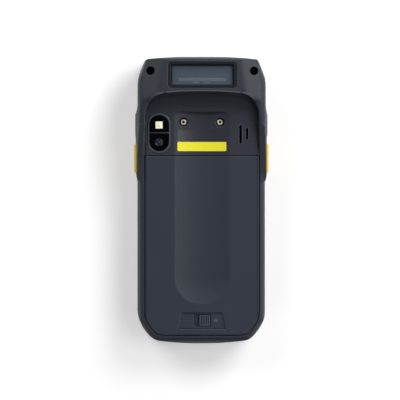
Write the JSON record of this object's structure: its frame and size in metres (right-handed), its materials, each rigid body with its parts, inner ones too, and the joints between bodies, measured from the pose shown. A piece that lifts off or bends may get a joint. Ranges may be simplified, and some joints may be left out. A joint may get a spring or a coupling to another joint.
{
  "type": "portable barcode data terminal",
  "caption": "Rugged handheld scanning computer with a raised scan window, side triggers, a latched battery cover with a finger trough, rear camera, touch display and keypad.",
  "frame": {"origin": "middle of the case on the plane of the front rim, on which it lies", "axes": "+Y towards the scan window's end, +Z from the display towards the back, +X to the right seen from the back"},
  "size_m": [0.0762, 0.1624, 0.0291],
  "materials": {
    "housing_plastic": "fine textured satin",
    "cover_plastic": "fine textured satin",
    "black_rubber": "matte",
    "yellow_rubber": "satin",
    "dark_key": "matte",
    "grey_key": "matte",
    "window_frame": "satin",
    "tinted_glass": "polished, tinted",
    "black_glass": "polished, black printed",
    "camera_rim_metal": "anodised satin",
    "lens_metal": "anodised satin",
    "lamp_cream": "diffusing",
    "brass": "turned",
    "steel": "bright",
    "tin_plate": "satin",
    "label_dark": "printed film",
    "label_yellow": "printed film",
    "inner_plastic": "moulded",
    "mesh_fabric": "woven",
    "board_green": "solder resist",
    "display_plastic": "smooth",
    "cable_film": "smooth film",
    "light_guide": "clear moulded",
    "battery_film": "wrapped film"
  },
  "bodies": {
    "case": {"front_housing": "housing_plastic", "rear_housing": "housing_plastic", "housing_seal": "black_rubber", "housing_screws": "steel", "scan_window_frame": "window_frame", "scan_window": "tinted_glass", "scan_engine": "inner_plastic", "camera_rim": "camera_rim_metal", "camera_window": "black_glass", "camera_module": "inner_plastic", "camera_lens_ring": "lens_metal", "flash_led": "lamp_cream", "strap_inserts": "brass", "rating_label": "label_dark", "label_strip": "label_yellow", "loudspeaker": "inner_plastic", "speaker_mesh": "mesh_fabric", "side_switches": "tin_plate", "touch_glass": "black_glass", "display_panel": "display_plastic", "display_cable": "cable_film", "earpiece": "inner_plastic", "earpiece_mesh": "mesh_fabric", "status_light": "light_guide", "microphone": "tin_plate", "main_board": "board_green", "shield_cans": "tin_plate", "keypad_board": "board_green", "key_domes": "tin_plate", "battery_pack": "battery_film", "battery_contacts": "brass", "card_sockets": "tin_plate", "usb_port": "tin_plate", "vibration_motor": "tin_plate", "backup_cell": "tin_plate", "antenna": "brass"},
    "cover": {"battery_cover": "cover_plastic", "cover_seal": "black_rubber"},
    "latch": {"cover_latch": "inner_plastic"},
    "left_trigger_body": {"left_trigger": "yellow_rubber"},
    "left_side_key_body": {"left_side_key": "dark_key"},
    "right_trigger_body": {"right_trigger": "yellow_rubber"},
    "right_side_key_body": {"right_side_key": "dark_key"},
    "scan_key_body": {"scan_key": "yellow_rubber"},
    "function_key_1_body": {"function_key_1": "grey_key"},
    "function_key_2_body": {"function_key_2": "grey_key"},
    "function_key_3_body": {"function_key_3": "grey_key"},
    "function_key_4_body": {"function_key_4": "grey_key"},
    "number_key_1_body": {"number_key_1": "grey_key"},
    "number_key_2_body": {"number_key_2": "grey_key"},
    "number_key_3_body": {"number_key_3": "grey_key"},
    "number_key_4_body": {"number_key_4": "grey_key"},
    "number_key_5_body": {"number_key_5": "grey_key"},
    "number_key_6_body": {"number_key_6": "grey_key"},
    "number_key_7_body": {"number_key_7": "grey_key"},
    "number_key_8_body": {"number_key_8": "grey_key"},
    "number_key_9_body": {"number_key_9": "grey_key"},
    "star_key_body": {"star_key": "grey_key"},
    "number_key_0_body": {"number_key_0": "grey_key"},
    "hash_key_body": {"hash_key": "grey_key"}
  },
  "joints": [
    {"name": "cover_tilt", "type": "hinge", "parent": "case", "child": "cover", "pos_m": [0, 0.0252, 0.0206], "axis": [-1, 0, 0], "range_deg": [0, 60]},
    {"name": "latch_slide", "type": "slide", "parent": "cover", "child": "latch", "axis": [-1, 0, 0], "range_m": [0, 0.0025]},
    {"name": "left_trigger_press", "type": "slide", "parent": "case", "child": "left_trigger_body", "axis": [1, 0, 0], "range_m": [0, 0.0006], "stiffness_N_per_m": 3000},
    {"name": "left_side_key_press", "type": "slide", "parent": "case", "child": "left_side_key_body", "axis": [1, 0, 0], "range_m": [0, 0.0006], "stiffness_N_per_m": 3000},
    {"name": "right_trigger_press", "type": "slide", "parent": "case", "child": "right_trigger_body", "axis": [-1, 0, 0], "range_m": [0, 0.0006], "stiffness_N_per_m": 3000},
    {"name": "right_side_key_press", "type": "slide", "parent": "case", "child": "right_side_key_body", "axis": [-1, 0, 0], "range_m": [0, 0.0006], "stiffness_N_per_m": 3000},
    {"name": "scan_key_press", "type": "slide", "parent": "case", "child": "scan_key_body", "axis": [0, 0, 1], "range_m": [0, 0.0005], "stiffness_N_per_m": 3000},
    {"name": "function_key_1_press", "type": "slide", "parent": "case", "child": "function_key_1_body", "axis": [0, 0, 1], "range_m": [0, 0.0005], "stiffness_N_per_m": 3000},
    {"name": "function_key_2_press", "type": "slide", "parent": "case", "child": "function_key_2_body", "axis": [0, 0, 1], "range_m": [0, 0.0005], "stiffness_N_per_m": 3000},
    {"name": "function_key_3_press", "type": "slide", "parent": "case", "child": "function_key_3_body", "axis": [0, 0, 1], "range_m": [0, 0.0005], "stiffness_N_per_m": 3000},
    {"name": "function_key_4_press", "type": "slide", "parent": "case", "child": "function_key_4_body", "axis": [0, 0, 1], "range_m": [0, 0.0005], "stiffness_N_per_m": 3000},
    {"name": "number_key_1_press", "type": "slide", "parent": "case", "child": "number_key_1_body", "axis": [0, 0, 1], "range_m": [0, 0.0005], "stiffness_N_per_m": 3000},
    {"name": "number_key_2_press", "type": "slide", "parent": "case", "child": "number_key_2_body", "axis": [0, 0, 1], "range_m": [0, 0.0005], "stiffness_N_per_m": 3000},
    {"name": "number_key_3_press", "type": "slide", "parent": "case", "child": "number_key_3_body", "axis": [0, 0, 1], "range_m": [0, 0.0005], "stiffness_N_per_m": 3000},
    {"name": "number_key_4_press", "type": "slide", "parent": "case", "child": "number_key_4_body", "axis": [0, 0, 1], "range_m": [0, 0.0005], "stiffness_N_per_m": 3000},
    {"name": "number_key_5_press", "type": "slide", "parent": "case", "child": "number_key_5_body", "axis": [0, 0, 1], "range_m": [0, 0.0005], "stiffness_N_per_m": 3000},
    {"name": "number_key_6_press", "type": "slide", "parent": "case", "child": "number_key_6_body", "axis": [0, 0, 1], "range_m": [0, 0.0005], "stiffness_N_per_m": 3000},
    {"name": "number_key_7_press", "type": "slide", "parent": "case", "child": "number_key_7_body", "axis": [0, 0, 1], "range_m": [0, 0.0005], "stiffness_N_per_m": 3000},
    {"name": "number_key_8_press", "type": "slide", "parent": "case", "child": "number_key_8_body", "axis": [0, 0, 1], "range_m": [0, 0.0005], "stiffness_N_per_m": 3000},
    {"name": "number_key_9_press", "type": "slide", "parent": "case", "child": "number_key_9_body", "axis": [0, 0, 1], "range_m": [0, 0.0005], "stiffness_N_per_m": 3000},
    {"name": "star_key_press", "type": "slide", "parent": "case", "child": "star_key_body", "axis": [0, 0, 1], "range_m": [0, 0.0005], "stiffness_N_per_m": 3000},
    {"name": "number_key_0_press", "type": "slide", "parent": "case", "child": "number_key_0_body", "axis": [0, 0, 1], "range_m": [0, 0.0005], "stiffness_N_per_m": 3000},
    {"name": "hash_key_press", "type": "slide", "parent": "case", "child": "hash_key_body", "axis": [0, 0, 1], "range_m": [0, 0.0005], "stiffness_N_per_m": 3000}
  ]
}
